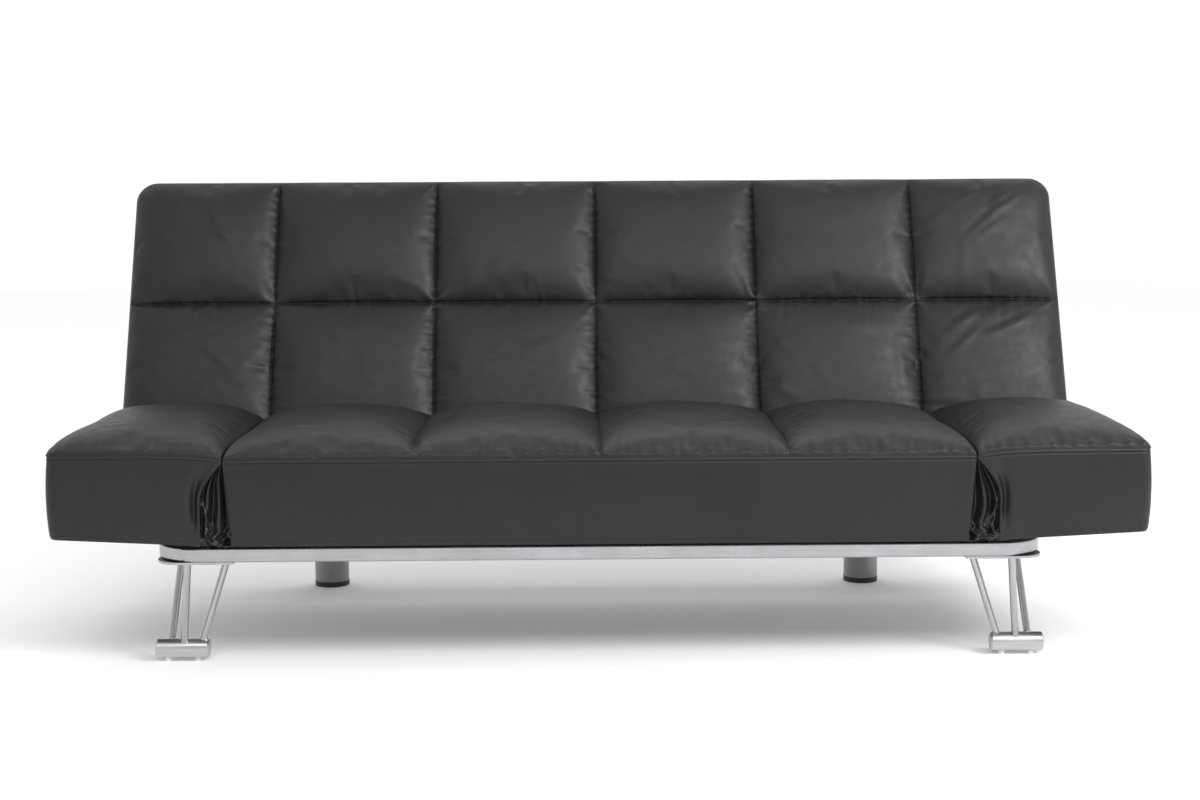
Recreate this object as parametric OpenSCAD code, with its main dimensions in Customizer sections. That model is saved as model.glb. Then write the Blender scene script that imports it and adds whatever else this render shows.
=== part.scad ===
// Click-clack sofa bed: a quilted seat with two fold-up wings, a reclining back and a
// tubular steel base. +X is the sitter's left, the front faces -Y,
// and the origin is on the floor at the middle of the overall box.

/* [Overall] */
// Overall width over both wings
overall_w = 1800; // [1700:10:1900]
// Width of the fixed middle part of the seat, between the two wing hinges
seat_w = 1226; // [1160:2:1260]
// Width of the backrest
back_w = 1786; // [1700:2:1800]
// Depth from the seat's front face to the backrest's rear top edge
overall_d = 856; // [850:1:866]

/* [Seat] */
// Depth of the seat cushion
seat_d = 485; // [460:5:488]
// Height of the seat's underside above the floor
seat_bottom = 208; // [206:1:212]
// Height of the seam round the seat's top
seat_seam = 350; // [345:1:354]
// Height of each seat cell's crown above the seam
seat_crown = 36; // [20:1:40]
// Rise of a wing's outer bottom edge
wing_bottom_rise = 14; // [8:1:18]
// Rise of a wing's outer top seam
wing_top_rise = 7; // [2:1:9]

/* [Backrest] */
// Lean of the backrest from the vertical, in degrees
back_lean = 25.5; // [23:0.5:27]
// Length of the backrest above its pivot, along its slope
back_up = 507; // [480:1:520]
// Length of the backrest below its pivot, along its slope
back_down = 25; // [15:1:30]
// Distance from the pivot to the seam plane of the backrest's front
back_front = 60; // [50:1:64]
// Distance from the pivot to the backrest's rear face
back_rear = 60; // [50:1:64]
// Height of each backrest cell's crown above the seam plane
back_crown = 28; // [15:1:32]
// Height along the slope of the seam between the two rows of cells
back_row = 252; // [240:1:265]
// Radius of the backrest's top corners
back_corner = 38; // [20:1:60]

/* [Click-clack hinge] */
// Distance of the pivot behind the seat's front face
pivot_back = 583; // [576:1:590]
// Height of the pivot above the floor
pivot_z = 300; // [296:1:304]
// Diameter of the pivot bolt
bolt_d = 12; // [8:1:14]
// Radius of the ratchet over its teeth
ratchet_r = 45; // [42:0.5:46]
// Number of ratchet teeth
ratchet_teeth = 11; // [8:1:14]

/* [Base] */
// Height of the top of the base rails
rail_top = 200; // [198:1:202]
// Height of the rail tube
rail_h = 25; // [20:1:30]
// Width of the rail tube, seen from above
rail_w = 40; // [30:2:50]
// Outside width of the base
base_w = 1480; // [1400:1:1500]
// Distance of the base's front behind the seat's front face
base_front = 35; // [25:1:45]
// Distance of the base's rear behind the seat's front face
base_rear = 705; // [695:1:715]
// Outside radius of the base's corners
base_corner = 78; // [60:1:90]
// Wall of the steel tubes
tube_wall = 1.5; // [1.2:0.1:2.5]

/* [Legs] */
// Diameter of the rods in each front leg
rod_d = 12; // [10:0.5:14]
// Diameter of the foot bar under each front leg
foot_d = 32; // [28:1:36]
// Length of the foot bar
foot_l = 88; // [80:1:96]
// Distance of the foot bar behind the seat's front face
foot_back = 79; // [70:1:115]
// Diameter of the rear legs
rear_leg_d = 66; // [50:1:70]
// Distance of each rear leg from the middle
rear_leg_x = 520; // [480:5:530]
// Distance of the rear legs behind the seat's front face
rear_leg_back = 664; // [650:1:668]

/* [Hidden] */
$fn = 48;

skin = 2;                       // leather cover
board = 25;                     // timber rails
corner_room = 27;               // room for the folded gusset in a split corner
joint = 0.1;                    // glue line between boards of one node
deck_z = 271;                   // top of the rails and slats that carry the foam
rail_z = seat_bottom + 3;       // bottom of the timber rails
seat_half = seat_w / 2;
wing_out = overall_w / 2;
cell_w = seat_w / 4;
back_half = back_w / 2;
front_y = -overall_d / 2;
seat_rear_y = front_y + seat_d;
pivot_y = front_y + pivot_back;
rail_bottom = rail_top - rail_h;
base_half = base_w / 2;
base_y0 = front_y + base_front;
base_y1 = front_y + base_rear;
plate_t = 4;
plate_z = rail_bottom - plate_t;
foot_x = 700;
foot_y = front_y + foot_back;
glide_h = 5;
glide_r = 6;
glide_spread = 25;
foot_z = glide_h + foot_d / 2;
rear_leg_y = front_y + rear_leg_back;
cap_h = 10;
cross_x = 561;                  // inner side of the cross rails under the hinges
cross_w = 25;
cross_y1 = base_y1 - rail_w;
// The hinge's plates lie side by side along the pivot, from the middle outwards.
back_arm_x = 566;
back_arm_t = 4;
bracket_x = 571;
bracket_t = 5;
seat_arm_x = 577;
seat_arm_t = 4;
side_rail_x = seat_arm_x + seat_arm_t;
slot_x0 = 548;                  // slot in the backrest's lower end for the hinge
slot_x1 = 604;
slot_top = 60;
run = 0.05;                     // running clearance on a radius
pawl_a = 215;                   // direction of the pawl's pin from the pivot, in degrees
pawl_r = 64;                    // distance of the pawl's pin from the pivot
pawl_tip_a = 192;
pawl_tip_r = ratchet_r + 0.8;
pawl_pin_r = 3;
tooth_h = 5;
tooth_from = 138;               // first tooth's direction, from the backrest's slope
tooth_pitch = 8;
wing_axis_z = 342;              // wing hinge pin, just under the top seam
knuckle_r = 5;
wing_pin_r = 2.5;
leaf_t = 2;
wing_hinge_ys = [front_y + 90, front_y + 390];
leaf_half = 40;

// --- general shapes ---------------------------------------------------------

module both_sides() { for (s = [-1, 1]) scale([s, 1, 1]) children(); }

// A block over the rectangle x0..x1 by y0..y1, between two heights.
module block(x0, x1, y0, y1, z0, z1) {
    translate([x0, y0, z0]) cube([x1 - x0, y1 - y0, z1 - z0]);
}

// A round bar between two points.
module bar(p, q, r) {
    d = q - p;
    translate(p)
        rotate([0, acos(d[2] / norm(d)), atan2(d[1], d[0])])
            cylinder(h = norm(d), r = r);
}

// A cylinder along X, from x0 to x1, at a point of the side view.
module x_pin(x0, x1, y, z, r) {
    translate([x0, y, z]) rotate([0, 90, 0]) cylinder(h = x1 - x0, r = r);
}

// A cylinder along Y.
module y_pin(x, y0, y1, z, r) {
    translate([x, y0, z]) rotate([-90, 0, 0]) cylinder(h = y1 - y0, r = r);
}

// A plate drawn in the side view (Y, Z), from x0 to x0 + t.
module side_plate(x0, t) {
    translate([x0, 0, 0]) rotate([90, 0, 90]) linear_extrude(t) children();
}

// The tube's section, centred, with its small outer corner radius.
module tube_section(w, h, r) {
    square([w - 2 * r, h], center = true);
    square([w, h - 2 * r], center = true);
    for (sx = [-1, 1], sy = [-1, 1])
        translate([sx * (w / 2 - r), sy * (h / 2 - r)]) circle(r);
}

module hollow_section(w, h) {
    difference() {
        tube_section(w, h, 4);
        square([w - 2 * tube_wall, h - 2 * tube_wall], center = true);
    }
}

// The top of one cell in section: an arc of height h over the line x0..x1 at height z.
module crown_2d(x0, x1, z, h) {
    r = ((x1 - x0) * (x1 - x0) / 4 + h * h) / (2 * h);
    intersection() {
        translate([(x0 + x1) / 2, z + h - r]) circle(r, $fn = 180);
        translate([x0, z]) square([x1 - x0, h + 1]);
    }
}

// --- base -------------------------------------------------------------------

rail_mid = rail_bottom + rail_h / 2;

module x_tube(y) {
    translate([-base_half + base_corner, y, rail_mid])
        rotate([90, 0, 90]) linear_extrude(base_w - 2 * base_corner) hollow_section(rail_w, rail_h);
}

module base_front_rail() { color("silver") x_tube(base_y0 + rail_w / 2); }
module base_rear_rail() { color("silver") x_tube(base_y1 - rail_w / 2); }

module base_side_rail(side) {
    color("silver")
        translate([side * (base_half - rail_w / 2), base_y1 - base_corner, rail_mid])
            rotate([90, 0, 0])
                linear_extrude(base_y1 - base_y0 - 2 * base_corner)
                    hollow_section(rail_w, rail_h);
}

module base_rail_corners() {
    color("silver")
        for (side = [-1, 1], end = [-1, 1])
            translate([side * (base_half - base_corner),
                       end > 0 ? base_y1 - base_corner : base_y0 + base_corner, rail_mid])
                rotate(side > 0 ? (end > 0 ? 0 : -90) : (end > 0 ? 90 : 180))
                    rotate_extrude(angle = 90)
                        translate([base_corner - rail_w / 2, 0]) hollow_section(rail_w, rail_h);
}

module base_cross_rails() {
    color("silver") both_sides()
        translate([cross_x + cross_w / 2, cross_y1, rail_mid])
            rotate([90, 0, 0])
                linear_extrude(cross_y1 - base_y0 - rail_w) hollow_section(cross_w, rail_h);
}

// --- legs -------------------------------------------------------------------

// Where each rod of the left-hand (+X) front leg meets its plate and its foot bar.
rod_tops = [[705, 42], [682, -34], [623, 6]];
rod_feet = [[722, 6], [698, -5], [671, 0]];

module front_leg_plates() {
    color("silver") both_sides() {
        block(606, base_half - 40, base_y0 + 3, base_y0 + 118, plate_z, rail_bottom);
        block(base_half - 40, base_half - 4, base_y0 + 43, base_y0 + 118, plate_z, rail_bottom);
        intersection() {
            translate([base_half - 44, base_y0 + 43, plate_z]) cylinder(h = plate_t, r = 40);
            block(base_half - 40, base_half, base_y0, base_y0 + 43, plate_z, rail_bottom);
        }
    }
}

module foot_bar_solid(grow = 0) {
    chamfer = 2;
    r = foot_d / 2 + grow;
    translate([foot_x - foot_l / 2, foot_y, foot_z])
        rotate([0, 90, 0])
            rotate_extrude()
                polygon([[0, 0], [r - chamfer, 0], [r, chamfer], [r, foot_l - chamfer],
                         [r - chamfer, foot_l], [0, foot_l]]);
}

// The rods run into the plate above and the bar below, where they are welded.
module front_leg_rods() {
    into_plate = 2.2;
    color("gainsboro")
        for (i = [0:2]) {
            top = [rod_tops[i][0], foot_y + rod_tops[i][1], plate_z + into_plate];
            foot = [rod_feet[i][0], foot_y + rod_feet[i][1], foot_z];
            bar(foot, top, rod_d / 2);
        }
}

module foot_glides() {
    color("white") both_sides()
        for (s = [-1, 1])
            intersection() {
                translate([foot_x + s * glide_spread, foot_y, 0]) cylinder(h = 12, r = glide_r);
                difference() {
                    block(foot_x - 60, foot_x + 60, foot_y - 20, foot_y + 20, 0, 12);
                    foot_bar_solid();
                }
            }
}

module rear_leg() {
    color("darkgray")
        translate([rear_leg_x, rear_leg_y, 0])
            difference() {
                translate([0, 0, cap_h]) cylinder(h = plate_z - cap_h, r = rear_leg_d / 2);
                cylinder(h = plate_z + 1, r = rear_leg_d / 2 - 2);
            }
}

module rear_leg_caps() {
    color("black") both_sides() translate([rear_leg_x, rear_leg_y, 0]) {
        cylinder(h = cap_h, r = rear_leg_d / 2 + 0.5);
        translate([0, 0, cap_h]) cylinder(h = 12, r = rear_leg_d / 2 - 2);
    }
}

module rear_leg_plates() {
    color("silver") both_sides()
        block(rear_leg_x - 50, cross_x + cross_w, rear_leg_y - 42, base_y1 - 4,
              plate_z, rail_bottom);
}

// Pan-head screws that hold the leg plates to the rails.
leg_screw_places = [[655, 62], [655, 130], [573, 690], [573, 640]];

module leg_plate_screws() {
    color("dimgray") both_sides()
        for (p = leg_screw_places)
            translate([p[0], front_y + p[1], plate_z - 3]) cylinder(h = 3, r = 5);
}

module seat_buffers() {
    color("black") both_sides() {
        for (x = [200, 500])
            translate([x, base_y0 + rail_w / 2, rail_top])
                cylinder(h = seat_bottom - rail_top - 0.3, r = 12);
        translate([cross_x + cross_w / 2, seat_rear_y - 65, rail_top])
            cylinder(h = seat_bottom - rail_top - 0.3, r = 12);
    }
}

// --- click-clack hinge ------------------------------------------------------

function polar(r, a) = [r * cos(a), r * sin(a)];
pivot_2d = [pivot_y, pivot_z];
pawl_2d = pivot_2d + polar(pawl_r, pawl_a);

module hinge_bracket() {
    color("dimgray") difference() {
        union() {
            side_plate(bracket_x, bracket_t) {
                translate(pivot_2d) circle(22);
                translate(pawl_2d) circle(11);
                polygon([pivot_2d + [-22, 0], pivot_2d + [22, 0], pivot_2d + [26, -70],
                         [pivot_y + 60, rail_top + plate_t], [pivot_y - 62, rail_top + plate_t],
                         pawl_2d + [-10, -4], pawl_2d + [-8, 8]]);
            }
            block(cross_x, cross_x + cross_w, pivot_y - 62, pivot_y + 60,
                  rail_top, rail_top + plate_t);
        }
        x_pin(bracket_x - 1, bracket_x + bracket_t + 1, pivot_y, pivot_z, bolt_d / 2);
        x_pin(bracket_x - 1, bracket_x + bracket_t + 1, pawl_2d[0], pawl_2d[1], pawl_pin_r);
    }
}

// The bolt's head bears on the backrest's arm and its nut on the seat's arm.
module pivot_bolts() {
    color("silver") both_sides() {
        x_pin(back_arm_x - 6.5, back_arm_x - 0.5, pivot_y, pivot_z, 10);
        x_pin(back_arm_x - 0.5, seat_arm_x + seat_arm_t + 10, pivot_y, pivot_z, bolt_d / 2);
    }
}

module pivot_nuts() {
    color("silver") both_sides()
        difference() {
            translate([seat_arm_x + seat_arm_t + 0.5, pivot_y, pivot_z])
                rotate([0, 90, 0]) cylinder(h = 9, r = 10.5, $fn = 6);
            x_pin(seat_arm_x, seat_arm_x + 30, pivot_y, pivot_z, bolt_d / 2);
        }
}

module pawl_pins() {
    color("silver") both_sides() {
        x_pin(back_arm_x - 7.5, bracket_x + bracket_t, pawl_2d[0], pawl_2d[1], pawl_pin_r);
        x_pin(back_arm_x - 9, back_arm_x - 7.5, pawl_2d[0], pawl_2d[1], pawl_pin_r + 2.5);
    }
}

// A torsion spring on the pawl's pin, swept along a helix.
spring_turns = 4;
spring_wire = 0.7;
spring_pitch = 1.45;
spring_r = pawl_pin_r + spring_wire + 0.2;
spring_steps = 12;
spring_sides = 6;

function spring_point(i, j) =
    let (a = 360 * i / spring_steps, b = 360 * j / spring_sides,
         r = spring_r + spring_wire * cos(b))
    [spring_pitch * i / spring_steps + spring_wire * sin(b), r * cos(a), r * sin(a)];

module helix_spring() {
    n = spring_turns * spring_steps;
    s = spring_sides;
    polyhedron(
        points = [for (i = [0:n], j = [0:s - 1]) spring_point(i, j)],
        faces = concat(
            [for (i = [0:n - 1], j = [0:s - 1])
                [i * s + j, (i + 1) * s + j, (i + 1) * s + (j + 1) % s, i * s + (j + 1) % s]],
            [[for (j = [0:s - 1]) j], [for (j = [s - 1:-1:0]) n * s + j]]));
}

module pawl_springs() {
    color("gray") both_sides()
        translate([back_arm_x - 6.6, pawl_2d[0], pawl_2d[1]]) helix_spring();
}

module pawl() {
    tip = pivot_2d + polar(pawl_tip_r, pawl_tip_a);
    color("goldenrod") difference() {
        side_plate(back_arm_x, back_arm_t) {
            translate(pawl_2d) circle(8);
            polygon([pawl_2d + [7.4, 3], tip, pivot_2d + polar(pawl_tip_r + 9, pawl_tip_a - 6),
                     pawl_2d + [-7.4, 3]]);
        }
        x_pin(back_arm_x - 1, back_arm_x + back_arm_t + 1, pawl_2d[0], pawl_2d[1],
              pawl_pin_r + run);
    }
}

module seat_arm() {
    color("dimgray") difference() {
        union() {
            x_pin(seat_arm_x, seat_arm_x + seat_arm_t, pivot_y, pivot_z, 20);
            side_plate(seat_arm_x, seat_arm_t)
                polygon([pivot_2d + [12, 14], pivot_2d + [12, -14], [seat_rear_y - 30, 225],
                         [seat_rear_y - 150, 225], [seat_rear_y - 150, 262],
                         [seat_rear_y - 20, 262]]);
        }
        x_pin(seat_arm_x - 1, seat_arm_x + 10, pivot_y, pivot_z, bolt_d / 2 + run);
    }
}

// --- seat -------------------------------------------------------------------

// The seat's or a wing's outer form. It is drawn in by `inset` on its sides and top.
module crowned_side_view(inset) {
    y0 = front_y + inset;
    y1 = seat_rear_y - inset;
    translate([y0, seat_bottom]) square([y1 - y0, seat_seam + wing_top_rise - seat_bottom - inset]);
    crown_2d(y0, y1, seat_seam + wing_top_rise - inset - 0.01, seat_crown);
}

module seat_form(inset) {
    intersection() {
        translate([0, seat_rear_y, 0]) rotate([90, 0, 0]) linear_extrude(seat_d) {
            translate([-seat_half, seat_bottom])
                square([seat_w, seat_seam - seat_bottom - inset]);
            for (i = [-2:1])
                crown_2d(i * cell_w, (i + 1) * cell_w, seat_seam - inset - 0.01, seat_crown);
        }
        translate([-seat_half - 1, 0, 0]) rotate([90, 0, 90])
            linear_extrude(seat_w + 2) crowned_side_view(inset);
    }
}

// The space that the hinge's arm takes through the seat's rear wall.
module seat_arm_slot() {
    block(seat_arm_x - 3, side_rail_x + 3, seat_rear_y - 30, seat_rear_y + 1,
          seat_bottom - 1, 300);
}

module seat_inside() {
    block(-seat_half - 1, seat_half + 1, front_y + skin, seat_rear_y - skin,
          seat_bottom - 1, deck_z);
}

side_rail_top = 325;

module seat_side_boards() {
    block(side_rail_x, seat_half + 1, front_y + skin, seat_rear_y - skin,
          seat_bottom - 1, side_rail_top);
    hinge_channel();
}

// The channel along the wing hinge's line, where the cushions part as the wing folds.
module hinge_channel() {
    room = 14;
    block(seat_half - room, seat_half + room, front_y - 1, seat_rear_y + 1,
          wing_axis_z - knuckle_r - 2, wing_axis_z + 40);
    for (y = wing_hinge_ys)
        block(seat_half - knuckle_r - 2, seat_half + knuckle_r + 2,
              y - leaf_half - 1, y + leaf_half + 1, wing_axis_z - 22, wing_axis_z);
}

module seat_foam() {
    color("khaki") difference() {
        seat_form(skin);
        seat_inside();
        both_sides() seat_side_boards();
    }
}

module seat_cover() {
    color([0.2, 0.2, 0.21]) difference() {
        seat_form(0);
        seat_form(skin);
        block(-seat_half - 1, seat_half + 1, front_y + skin, seat_rear_y - skin,
              seat_bottom - 1, deck_z);
        both_sides() {
            seat_arm_slot();
            hinge_channel();
        }
    }
}

module seat_dust_cover() {
    color([0.12, 0.12, 0.12])
        block(-seat_half, seat_half, front_y + skin, seat_rear_y - skin,
              seat_bottom, seat_bottom + 1.5);
}

module seat_front_rail() {
    color("burlywood")
        block(-seat_half + 21, seat_half - 21, front_y + skin, front_y + corner_room,
              rail_z, deck_z);
}

module seat_rear_rail() {
    color("burlywood") difference() {
        block(-side_rail_x, side_rail_x, seat_rear_y - skin - board, seat_rear_y - skin,
              rail_z, deck_z);
        both_sides() seat_arm_slot();
    }
}

module seat_side_rail() {
    color("burlywood")
        block(side_rail_x, seat_half - leaf_t, front_y + corner_room, seat_rear_y - skin,
              rail_z, side_rail_top);
}

slat_n = 8;
slat_w = 60;
slat_t = 12;

module seat_slats() {
    span = 2 * (seat_arm_x - 10) - slat_w;
    color("wheat")
        for (i = [0:slat_n - 1]) {
            x = -span / 2 + span * i / (slat_n - 1);
            block(x - slat_w / 2, x + slat_w / 2, front_y + skin + board,
                  seat_rear_y - skin - board, deck_z - slat_t, deck_z);
        }
}

// --- wing hinges ------------------------------------------------------------

// One leaf on the +X side: `knuckles` says which fifths of its length carry the pin.
module hinge_leaf(x0, knuckles) {
    for (y = wing_hinge_ys)
        difference() {
            union() {
                block(x0, x0 + leaf_t - 0.3, y - leaf_half, y + leaf_half, 262, wing_axis_z - 7);
                for (k = knuckles) {
                    k0 = y - leaf_half + k * 16 + 0.25;
                    y_pin(seat_half, k0, k0 + 15.5, wing_axis_z, knuckle_r);
                    block(x0, x0 + leaf_t - 0.3, k0, k0 + 15.5, wing_axis_z - 8, wing_axis_z);
                    block(min(x0, seat_half - 1), max(x0 + leaf_t - 0.3, seat_half + 1),
                          k0, k0 + 15.5, wing_axis_z - 6.5, wing_axis_z);
                }
            }
            y_pin(seat_half, y - 60, y + 60, wing_axis_z, wing_pin_r + run);
        }
}

module seat_hinge_leaves() {
    color("silver") both_sides() hinge_leaf(seat_half - leaf_t, [0, 2, 4]);
}

module wing_hinge_leaves() { color("silver") hinge_leaf(seat_half + 0.3, [1, 3]); }

module wing_hinge_pins() {
    color("gray") both_sides()
        for (y = wing_hinge_ys)
            y_pin(seat_half, y - leaf_half, y + leaf_half, wing_axis_z, wing_pin_r);
}

// --- wings (drawn on the +X side) -------------------------------------------

wing_gap = 2;                   // from the hinge's plane to the wing's first board
wing_in = seat_half + wing_gap;
wing_rise = wing_bottom_rise / (wing_out - seat_half);

module wing_form(inset) {
    o = wing_out - inset;
    top_out = seat_seam + wing_top_rise - inset;
    w = wing_out - seat_half;
    tilt = atan2(wing_top_rise, w);
    intersection() {
        translate([0, seat_rear_y, 0]) rotate([90, 0, 0]) linear_extrude(seat_d) {
            polygon([[wing_in, seat_bottom], [o, seat_bottom + wing_bottom_rise],
                     [o, top_out], [wing_in, seat_seam - inset]]);
            translate([seat_half, seat_seam - inset - 0.01]) rotate(tilt)
                crown_2d(wing_gap, o - seat_half, 0, seat_crown);
        }
        translate([seat_half, 0, 0]) rotate([90, 0, 90])
            linear_extrude(w + 1) crowned_side_view(inset);
    }
}

module wing_boards_room() {
    block(wing_in - 1, wing_out - skin, front_y + skin, seat_rear_y - skin,
          seat_bottom - 1, deck_z);
    block(wing_in - 1, wing_in + board, front_y + skin, seat_rear_y - skin,
          seat_bottom - 1, side_rail_top);
    hinge_channel();
}

module wing_foam() {
    color("khaki") difference() {
        wing_form(skin);
        wing_boards_room();
    }
}

module wing_cover() {
    color([0.2, 0.2, 0.21]) difference() {
        wing_form(0);
        intersection() {
            wing_form(skin);
            translate([0, 0, skin + 1]) wing_above_floor();
        }
        block(wing_in - 1, wing_in + skin, front_y + skin, seat_rear_y - skin,
              seat_bottom + skin + 2, side_rail_top);
        hinge_channel();
    }
}

// Everything above the wing's sloping underside.
module wing_above_floor() {
    translate([0, seat_rear_y, 0]) rotate([90, 0, 0]) linear_extrude(seat_d)
        polygon([[wing_in - 2, seat_bottom - 2 * wing_rise], [wing_out, seat_bottom + wing_bottom_rise],
                 [wing_out, 500], [wing_in - 2, 500]]);
}

module wing_rails() {
    inner_end = wing_in + board;
    outer = wing_out - skin - 3;
    y0 = front_y + corner_room;
    y1 = seat_rear_y - corner_room;
    lift = seat_bottom + wing_bottom_rise + skin + 2;
    color("burlywood") {
        block(wing_in, inner_end, y0, y1, lift, side_rail_top);
        block(outer - board, outer, y0, y1, lift, deck_z - 9);
        for (y = [y0, y1 - board])
            block(inner_end + joint, outer - board - joint, y, y + board, lift, deck_z - 9);
    }
}

module wing_panel() {
    color("wheat")
        block(wing_in + board, wing_out - skin - 3, front_y + corner_room,
              seat_rear_y - corner_room, deck_z - 9, deck_z);
}

// --- backrest (drawn with its pivot at the origin and its slope along +Z) ---

module on_back() { translate([0, pivot_y, pivot_z]) rotate([-back_lean, 0, 0]) children(); }

module back_outline(inset) {
    r = back_corner - inset;
    h = back_half - inset;
    top = back_up - inset;
    translate([-h, -back_down + inset]) square([2 * h, top + back_down - inset - r]);
    translate([-h + r, top - r]) square([2 * h - 2 * r, r]);
    for (s = [-1, 1]) translate([s * (h - r), top - r]) circle(r);
}

// Each of the two rows is crowned over its height.
module back_form(inset) {
    intersection() {
        translate([0, back_rear - inset, 0]) rotate([90, 0, 0])
            linear_extrude(back_front + back_rear + 2 * back_crown) back_outline(inset);
        translate([back_half + 1, 0, 0]) rotate([0, -90, 0])
            linear_extrude(back_w + 2) mirror([0, 1]) {
                translate([-back_down - 1, -back_rear + inset])
                    square([back_up + back_down + 2, back_front + back_rear - 2 * inset]);
                crown_2d(-back_down + inset, back_row, back_front - inset - 0.01, back_crown);
                crown_2d(back_row, back_up - inset, back_front - inset - 0.01, back_crown);
            }
    }
}

module back_slots() {
    both_sides() block(slot_x0, slot_x1, -150, 150, -100, slot_top);
}

module back_frame_room() {
    block(-back_half + skin, back_half - skin, 0, 150, slot_top, back_up - back_corner);
    block(-back_half + back_corner, back_half - back_corner, 0, 150, slot_top, back_up - skin);
}

panel_t = 3;

module back_panel_room() {
    block(-back_half + 20, back_half - 20, back_rear - skin - panel_t, 150, slot_top, back_up - 20);
}

module back_foam() {
    color("khaki") on_back() difference() {
        back_form(skin);
        back_slots();
        back_frame_room();
        back_panel_room();
    }
}

module back_cover() {
    color([0.2, 0.2, 0.21]) on_back() difference() {
        back_form(0);
        back_form(skin);
        back_slots();
        block(-back_half + 20, back_half - 20, back_rear - skin - 1, 150,
              slot_top, back_up - 20);
    }
}

module back_panel() {
    color([0.12, 0.12, 0.12]) on_back()
        block(-back_half + 20, back_half - 20, back_rear - skin - panel_t, back_rear - skin,
              slot_top, back_up - 20);
}

frame_y1 = back_rear - skin - panel_t;
back_rail_h = 25;
upright_x = [back_arm_x - board, back_half - back_corner - board];

module back_top_rail() {
    color("burlywood") on_back()
        block(-back_half + back_corner, back_half - back_corner, 0, frame_y1,
              back_up - 20 - back_rail_h, back_up - 20);
}

module back_uprights() {
    color("burlywood") on_back() both_sides()
        for (x = upright_x)
            block(x, x + board, 0, frame_y1, slot_top, back_up - 20 - back_rail_h);
}

module back_bottom_rails() {
    color("burlywood") on_back() {
        block(-upright_x[0], upright_x[0], 0, frame_y1, slot_top, slot_top + back_rail_h);
        both_sides() block(upright_x[0] + board + back_arm_t + 1, upright_x[1], 0, frame_y1,
                           slot_top, slot_top + back_rail_h);
    }
}

module back_slats() {
    slat_h = 60;
    rows = 4;
    first = slot_top + back_rail_h + 20;
    step = (back_up - 20 - back_rail_h - 20 - slat_h - first) / (rows - 1);
    color("wheat") on_back()
        for (i = [0:rows - 1])
            block(-upright_x[0], upright_x[0], 0, slat_t, first + i * step,
                  first + i * step + slat_h);
}

// The arm carries the ratchet, whose teeth pass the pawl as the backrest reclines.
function tooth(i) =
    let (a = 90 + tooth_from + i * tooth_pitch)
    [polar(ratchet_r - tooth_h, a), polar(ratchet_r, a), polar(ratchet_r - tooth_h, a + tooth_pitch)];

module back_arm() {
    color("goldenrod") on_back() difference() {
        side_plate(back_arm_x, back_arm_t) {
            circle(ratchet_r - tooth_h - 1);
            polygon([for (i = [0:ratchet_teeth - 1]) each tooth(i), [0, 0]]);
            polygon([[-25, 0], [25, 0], [45, 60], [45, 250], [10, 250], [10, 60]]);
        }
        x_pin(back_arm_x - 1, back_arm_x + back_arm_t + 1, 0, 0, bolt_d / 2 + run);
    }
}

// --- nodes ------------------------------------------------------------------

module on_left() { children(); }
module on_right() { scale([-1, 1, 1]) children(); }

base_front_rail();
base_rear_rail();
base_side_rail(1);  // base_side_rail_left
base_side_rail(-1);  // base_side_rail_right
base_rail_corners();
base_cross_rails();
front_leg_plates();
on_left() front_leg_rods();  // front_leg_rods_left
on_right() front_leg_rods();  // front_leg_rods_right
color("silver") on_left() foot_bar_solid();  // front_foot_bar_left
color("silver") on_right() foot_bar_solid();  // front_foot_bar_right
foot_glides();
on_left() rear_leg();  // rear_leg_left
on_right() rear_leg();  // rear_leg_right
rear_leg_caps();
rear_leg_plates();
leg_plate_screws();
seat_buffers();
on_left() hinge_bracket();  // hinge_bracket_left
on_right() hinge_bracket();  // hinge_bracket_right
pivot_bolts();
pivot_nuts();
pawl_pins();
pawl_springs();
on_left() pawl();  // pawl_left
on_right() pawl();  // pawl_right
seat_front_rail();
seat_rear_rail();
on_left() seat_side_rail();  // seat_side_rail_left
on_right() seat_side_rail();  // seat_side_rail_right
seat_slats();
seat_foam();
seat_cover();
seat_dust_cover();
on_left() seat_arm();  // seat_arm_left
on_right() seat_arm();  // seat_arm_right
seat_hinge_leaves();
wing_hinge_pins();
on_left() wing_rails();  // wing_rails_left
on_left() wing_panel();  // wing_panel_left
on_left() wing_foam();  // wing_foam_left
on_left() wing_cover();  // wing_cover_left
on_left() wing_hinge_leaves();  // wing_hinge_leaves_left
on_right() wing_rails();  // wing_rails_right
on_right() wing_panel();  // wing_panel_right
on_right() wing_foam();  // wing_foam_right
on_right() wing_cover();  // wing_cover_right
on_right() wing_hinge_leaves();  // wing_hinge_leaves_right
back_top_rail();
back_bottom_rails();
back_uprights();
back_slats();
back_foam();
back_cover();
back_panel();
on_left() back_arm();  // back_arm_left
on_right() back_arm();  // back_arm_right
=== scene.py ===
import math

import bpy
import numpy as np
from mathutils import Matrix, Vector


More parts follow.
